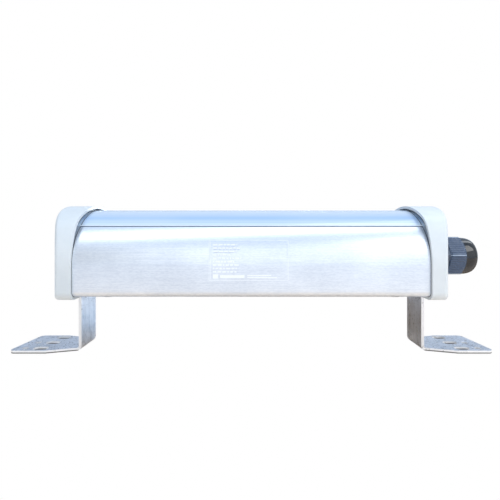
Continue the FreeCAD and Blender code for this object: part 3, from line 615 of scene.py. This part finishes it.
rim = {
    "x": 0.1006,
    "r": 0.00021,
    "floorRise": 0.0018,                 # above the cap's underside
    "corner": 0.0032,
    "sideTop": 0.0570,
    "shoulderR": 0.028,
    "shoulderTurn": math.radians(51.1),
    "coverR": 0.0364,
    "counts": (30, 10, 40, 50),          # points on the floor, corner, shoulder and cover
    "aroundCount": 10,
    # the painted shade's colour
    "colour": (0.07, 0.08, 0.10),
}


def sweepTube(path, r, count):
    # a circle of radius r carried round a closed path in a plane across X: out from the path is its
    # direction turned a quarter
    step = np.roll(path, -1, 0) - np.roll(path, 1, 0)
    out = np.stack([0 * step[:, 0], step[:, 2], -step[:, 1]], -1)
    out /= np.linalg.norm(out, axis=1)[:, None]
    turn = np.linspace(0, 2 * math.pi, count, endpoint=False)
    sideways = np.cos(turn)[None, :, None] * out[:, None]
    lengthways = np.sin(turn)[None, :, None] * np.array([1.0, 0, 0])
    return (path[:, None] + r * (sideways + lengthways)).reshape(-1, 3)


def makeRimLines(s=rim):
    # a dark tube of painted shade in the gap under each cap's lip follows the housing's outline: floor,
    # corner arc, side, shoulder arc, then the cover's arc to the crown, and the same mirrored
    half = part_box("housing_trough")[1].y
    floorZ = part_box("end_cap_left")[0].z + s["floorRise"]
    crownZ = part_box("radome_cover")[1].z
    floorCount, cornerCount, shoulderCount, coverCount = s["counts"]
    cornerY = half - s["corner"]
    flat = np.stack([np.linspace(0, cornerY, floorCount), np.full(floorCount, floorZ)], -1)
    a = np.linspace(-math.pi / 2, 0, cornerCount)
    corner = np.stack([cornerY + s["corner"] * np.cos(a), floorZ + s["corner"] * (1 + np.sin(a))], -1)
    a = np.linspace(0, s["shoulderTurn"], shoulderCount)
    shoulderY = half - s["shoulderR"] * (1 - np.cos(a))
    shoulder = np.stack([shoulderY, s["sideTop"] + s["shoulderR"] * np.sin(a)], -1)
    y = np.linspace(shoulderY[-1], 0, coverCount)[1:]
    crown = np.stack([y, crownZ - s["coverR"] + np.sqrt(s["coverR"] ** 2 - y ** 2)], -1)
    rightHalf = np.concatenate([flat, corner[1:], shoulder, crown])
    loop = np.concatenate([rightHalf, (rightHalf * [-1, 1])[-2:0:-1]])
    for name, side in (("rimShadeLeft", -1), ("rimShadeRight", 1)):
        path = np.concatenate([np.full((len(loop), 1), side * s["x"]), loop], 1)
        verts = sweepTube(path, s["r"], s["aroundCount"])
        faces = gridFaces(len(loop), s["aroundCount"], closeRows=True, closeColumns=True)
        # painted shade along the cap's lip
        line = plainFinish(name, s["colour"], 0.0, 0.6, 1200.0, 0.00002, 0.2)
        makePiece(name, verts, faces, "housing", line)
    print("rim lines ready")


makeDomeNut()
makeEtchedField()
makeSeamBeads()
makeRimLines()

stage = {
    "front": -1.6,
    "back": 1.0,
    "side": 3.0,
    "rise": 2.2,
    "bend": 0.6,
    "bendCount": 25,
    "drop": 0.0002,
    "rough": 0.9,
    "nearFront": (0.95, 0.80, 0.66),     # the floor's tints: before the object, behind it right and left
    "nearBack": (0.24, 0.17, 0.11),
    "nearLeft": (0.74, 0.82, 0.90),
    "far": (0.80, 0.85, 0.92),
    "leftToRight": (-0.05, 0.0),         # where each tint passes into the next
    "frontToBack": (-0.01, 0.05),
    "nearToFar": (0.21, 0.36),
}


def whiteToCamera(tree, shaded):
    # seen directly it is plain white; the object is lit and mirrored by the shaded version
    white = tree.nodes.new("ShaderNodeEmission")
    path = tree.nodes.new("ShaderNodeLightPath")
    mix = tree.nodes.new("ShaderNodeMixShader")
    tree.links.new(path.outputs["Is Camera Ray"], mix.inputs["Fac"])
    tree.links.new(shaded, mix.inputs[1])
    tree.links.new(white.outputs["Emission"], mix.inputs[2])
    return mix.outputs["Shader"]


def makeBackdrop(s=stage):
    # a flat floor that turns up through a quarter circle into a wall, swept along X
    turn = np.linspace(0, math.pi / 2, s["bendCount"])
    y = np.concatenate([[s["front"]], s["back"] + s["bend"] * np.sin(turn), [s["back"] + s["bend"]]])
    z = np.concatenate([[0.0], s["bend"] * (1 - np.cos(turn)), [s["rise"]]]) - s["drop"]
    x = np.array([-s["side"], s["side"]])
    verts = np.stack([np.repeat(x, len(y)), np.tile(y, 2), np.tile(z, 2)], 1)
    i = np.arange(len(y) - 1)
    faces = np.stack([i, i + len(y), i + len(y) + 1, i + 1], 1)
    mesh = bpy.data.meshes.new("backdrop")
    mesh.from_pydata(verts.tolist(), [], faces.tolist())
    mesh.shade_smooth()
    obj = bpy.data.objects.new("backdrop", mesh)
    bpy.context.scene.collection.objects.link(obj)
    mat, tree, shader = newMaterial("palePaper")
    setSockets(shader, {"Roughness": s["rough"]})
    axes = splitAxes(tree, objectCoords(tree))
    toRight = remap(tree, axes["X"], *s["leftToRight"], 0.0, 1.0)
    toBack = remap(tree, axes["Y"], *s["frontToBack"], 0.0, 1.0)
    toFar = remap(tree, absolute(tree, axes["Y"]), *s["nearToFar"], 0.0, 1.0)
    near = mixColour(tree, toBack, s["nearFront"], mixColour(tree, toRight, s["nearLeft"], s["nearBack"]))
    tree.links.new(mixColour(tree, toFar, near, s["far"]), shader.inputs["Base Color"])
    out = tree.nodes["Material Output"]
    tree.links.new(whiteToCamera(tree, shader.outputs["BSDF"]), out.inputs["Surface"])
    mesh.materials.append(mat)


lamps = {
    "key": {"place": (0.75, -0.55, 0.75), "target": (0, 0, 0.06), "size": (0.5, 0.5), "power": 2.6,
            "colour": (1.0, 0.99, 0.97)},
    "top": {"place": (0.05, -0.10, 0.95), "target": (0, 0, 0.06), "size": (3.0, 0.26), "power": 6.0,
            "colour": (0.92, 0.96, 1.0)},
    "front": {"place": (0.45, -1.1, 0.50), "target": (0.1, 0, 0.05), "size": (2.4, 1.2), "power": 4.2,
              "colour": (0.94, 0.97, 1.0)},
    "backRight": {"place": (0.28, 0.88, 0.09), "target": (-0.109, 0, 0.02), "size": (0.26, 0.12),
                  "power": 3.0, "colour": (0.84, 0.92, 1.0)},
}


def areaLight(name, s):
    light = bpy.data.lights.new(name, "AREA")
    light.shape = "RECTANGLE"
    light.size, light.size_y = s["size"]
    light.energy = s["power"]
    light.color = s["colour"]
    obj = bpy.data.objects.new(name, light)
    obj.location = s["place"]
    obj.rotation_euler = (Vector(s["target"]) - Vector(s["place"])).to_track_quat("-Z", "Y").to_euler()
    obj.visible_camera = False
    bpy.context.scene.collection.objects.link(obj)


sky = {
    "dark": (0.16, 0.125, 0.10),
    "bright": (0.80, 0.86, 0.93),
    "top": (0.60, 0.73, 0.92),
    "darkToBright": (-0.95, -0.25),      # where each tint passes into the next, as a direction's X or Z
    "sideToTop": (0.35, 0.9),
    "strength": 0.98,
}


def makeWorld(s=sky):
    # dim and warm from the left, bright and cool from the right, bluer overhead
    world = bpy.data.worlds.new("studio")
    world.use_nodes = True
    tree = world.node_tree
    place = tree.nodes.new("ShaderNodeTexCoord")
    axes = splitAxes(tree, place.outputs["Generated"])
    toBright = remap(tree, axes["X"], *s["darkToBright"], 0.0, 1.0)
    toTop = remap(tree, axes["Z"], *s["sideToTop"], 0.0, 1.0)
    colour = mixColour(tree, toTop, mixColour(tree, toBright, s["dark"], s["bright"]), s["top"])
    shaded = tree.nodes["Background"]
    shaded.inputs["Strength"].default_value = s["strength"]
    tree.links.new(colour, shaded.inputs["Color"])
    out = tree.nodes["World Output"]
    tree.links.new(whiteToCamera(tree, shaded.outputs["Background"]), out.inputs["Surface"])
    bpy.context.scene.world = world
    bpy.context.scene.view_settings.view_transform = "Standard"


lens = {
    "focal": 25.2,
    "sensor": 36.0,
    "place": (0.0, -0.2316, 0.0796),
    "shift": (-0.0028, -0.05),
    "nearClip": 0.01,
}


def makeCamera(s=lens):
    # level, looking along +Y
    data = bpy.data.cameras.new("camera")
    data.lens = s["focal"]
    data.sensor_width = s["sensor"]
    data.shift_x, data.shift_y = s["shift"]
    data.clip_start = s["nearClip"]
    obj = bpy.data.objects.new("camera", data)
    obj.location = s["place"]
    obj.rotation_euler = (math.pi / 2, 0, 0)
    bpy.context.scene.collection.objects.link(obj)
    bpy.context.scene.camera = obj


makeBackdrop()
for name, lamp in lamps.items():
    areaLight(name, lamp)
makeWorld()
makeCamera()
print("stage, lights and camera ready")
